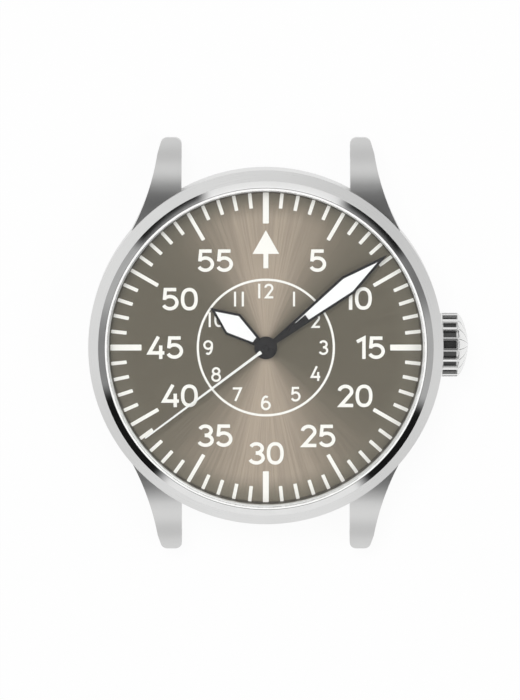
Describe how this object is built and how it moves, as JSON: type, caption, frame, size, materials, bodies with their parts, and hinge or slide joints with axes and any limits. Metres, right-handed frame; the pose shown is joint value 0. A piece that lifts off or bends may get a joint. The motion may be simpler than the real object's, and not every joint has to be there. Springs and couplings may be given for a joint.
{
  "type": "pilot watch",
  "caption": "Hand-wound pilot watch head in a round steel case, with a taupe sunburst dial, lozenge hands and lugs for a strap.",
  "frame": {"origin": "centre of the case back's flat, on the axis of the hands", "axes": "+Z out through the dial, +Y to 12 o'clock, +X to the crown at 3 o'clock"},
  "size_m": [0.045, 0.049, 0.011],
  "materials": {
    "case_steel": "satin brushed steel",
    "polished_steel": "mirror polished steel",
    "crown_steel": "polished and satin steel",
    "case_back_steel": "circular brushed steel",
    "crystal": "clear flat sapphire",
    "white_gasket": "white seal ring",
    "black_rubber": "matt rubber",
    "movement_steel": "fine polished steel",
    "brass": "gilt brass",
    "spring_steel": "blued spring steel",
    "ruby": "clear red stone",
    "nickel_plate": "nickel plated, fine grained",
    "black_hand": "black satin paint",
    "white_lume": "white lume",
    "second_hand_paint": "white paint with a black tail",
    "dial_paint": "taupe sunburst lacquer with ivory print",
    "ring_plastic": "grey moulded ring"
  },
  "bodies": {
    "case": {"case_middle": "case_steel", "lugs": "case_steel", "bezel": "polished_steel", "crystal": "crystal", "crystal_gasket": "white_gasket", "case_back": "case_back_steel", "case_back_gasket": "black_rubber", "crown_tube": "case_steel", "crown_wheel_screw": "movement_steel", "main_plate": "nickel_plate", "barrel_bridge": "nickel_plate", "train_bridge": "nickel_plate", "balance_cock": "nickel_plate", "hairspring": "spring_steel", "dial": "dial_paint", "movement_ring": "ring_plastic"},
    "minute_work": {"cannon_pinion": "movement_steel", "minute_hand": "black_hand", "minute_lume": "white_lume"},
    "hour_work": {"hour_wheel": "brass", "hour_hand": "black_hand", "hour_lume": "white_lume"},
    "minute_wheel": {"minute_wheel": "brass"},
    "setting_wheel": {"setting_wheel": "movement_steel"},
    "seconds_work": {"fourth_wheel": "brass", "second_hand": "second_hand_paint"},
    "third_wheel": {"third_wheel": "brass"},
    "centre_wheel": {"centre_wheel": "brass"},
    "barrel": {"barrel": "brass", "barrel_cover": "brass", "mainspring": "spring_steel"},
    "escape_wheel": {"escape_wheel": "movement_steel"},
    "pallet_fork": {"pallet_fork": "movement_steel", "pallet_stones": "ruby"},
    "balance": {"balance_wheel": "brass"},
    "winding_pinion": {"winding_pinion": "movement_steel"},
    "crown": {"crown": "crown_steel", "crown_gasket": "black_rubber", "stem": "movement_steel"},
    "clutch": {"clutch": "movement_steel"},
    "crown_wheel": {"crown_wheel": "movement_steel"},
    "barrel_arbor": {"barrel_arbor": "movement_steel", "ratchet_wheel": "movement_steel", "ratchet_screw": "movement_steel"}
  },
  "joints": [
    {"name": "minute_turn", "type": "hinge", "parent": "case", "child": "minute_work", "pos_m": [0, 0, 0.008], "axis": [0, 0, -1], "continuous": true},
    {"name": "hour_turn", "type": "hinge", "parent": "case", "child": "hour_work", "pos_m": [0, 0, 0.008], "axis": [0, 0, -1], "continuous": true},
    {"name": "minute_wheel_turn", "type": "hinge", "parent": "case", "child": "minute_wheel", "pos_m": [0.0024, 0, 0.007], "axis": [0, 0, -1], "continuous": true},
    {"name": "setting_wheel_turn", "type": "hinge", "parent": "case", "child": "setting_wheel", "pos_m": [0.0057, 0, 0.007], "axis": [0, 0, -1], "continuous": true},
    {"name": "seconds_turn", "type": "hinge", "parent": "case", "child": "seconds_work", "pos_m": [0, 0, 0.008], "axis": [0, 0, -1], "continuous": true},
    {"name": "third_wheel_turn", "type": "hinge", "parent": "case", "child": "third_wheel", "pos_m": [-0.00414, -0.00073, 0.005], "axis": [0, 0, -1], "continuous": true},
    {"name": "centre_wheel_turn", "type": "hinge", "parent": "case", "child": "centre_wheel", "pos_m": [0, 0, 0.005], "axis": [0, 0, -1], "continuous": true},
    {"name": "barrel_turn", "type": "hinge", "parent": "case", "child": "barrel", "pos_m": [0.00345, 0.00476, 0.005], "axis": [0, 0, -1], "continuous": true},
    {"name": "escape_wheel_turn", "type": "hinge", "parent": "case", "child": "escape_wheel", "pos_m": [0.00109, -0.00406, 0.005], "axis": [0, 0, -1], "continuous": true},
    {"name": "pallet_swing", "type": "hinge", "parent": "case", "child": "pallet_fork", "pos_m": [-0.0009, -0.00545, 0.005], "axis": [0, 0, 1], "range_deg": [-4, 4]},
    {"name": "balance_swing", "type": "hinge", "parent": "case", "child": "balance", "pos_m": [-0.00398, -0.00676, 0.005], "axis": [0, 0, 1], "range_deg": [-135, 135], "stiffness_Nm_per_rad": 0.000000063},
    {"name": "crown_turn", "type": "hinge", "parent": "case", "child": "winding_pinion", "pos_m": [0.00925, 0, 0.00445], "axis": [1, 0, 0], "continuous": true},
    {"name": "crown_pull", "type": "slide", "parent": "winding_pinion", "child": "crown", "axis": [1, 0, 0], "range_m": [0, 0.00075]},
    {"name": "clutch_shift", "type": "slide", "parent": "winding_pinion", "child": "clutch", "axis": [1, 0, 0], "range_m": [-0.0006, 0]},
    {"name": "crown_wheel_turn", "type": "hinge", "parent": "case", "child": "crown_wheel", "pos_m": [0.0071, 0, 0.0026], "axis": [0, 0, 1], "continuous": true},
    {"name": "ratchet_turn", "type": "hinge", "parent": "case", "child": "barrel_arbor", "pos_m": [0.00345, 0.00476, 0.0026], "axis": [0, 0, 1], "continuous": true}
  ],
  "couplings": [
    {"joint": "hour_turn", "follows": "minute_turn", "ratio": 0.083333},
    {"joint": "minute_wheel_turn", "follows": "minute_turn", "ratio": -0.33333},
    {"joint": "setting_wheel_turn", "follows": "minute_turn", "ratio": 0.4},
    {"joint": "third_wheel_turn", "follows": "seconds_turn", "ratio": -0.13333},
    {"joint": "centre_wheel_turn", "follows": "seconds_turn", "ratio": 0.016667},
    {"joint": "barrel_turn", "follows": "seconds_turn", "ratio": -0.0027778},
    {"joint": "escape_wheel_turn", "follows": "seconds_turn", "ratio": -10},
    {"joint": "crown_wheel_turn", "follows": "crown_turn", "ratio": 0.75},
    {"joint": "ratchet_turn", "follows": "crown_turn", "ratio": -0.5},
    {"joint": "clutch_shift", "follows": "crown_pull", "ratio": -0.8}
  ]
}
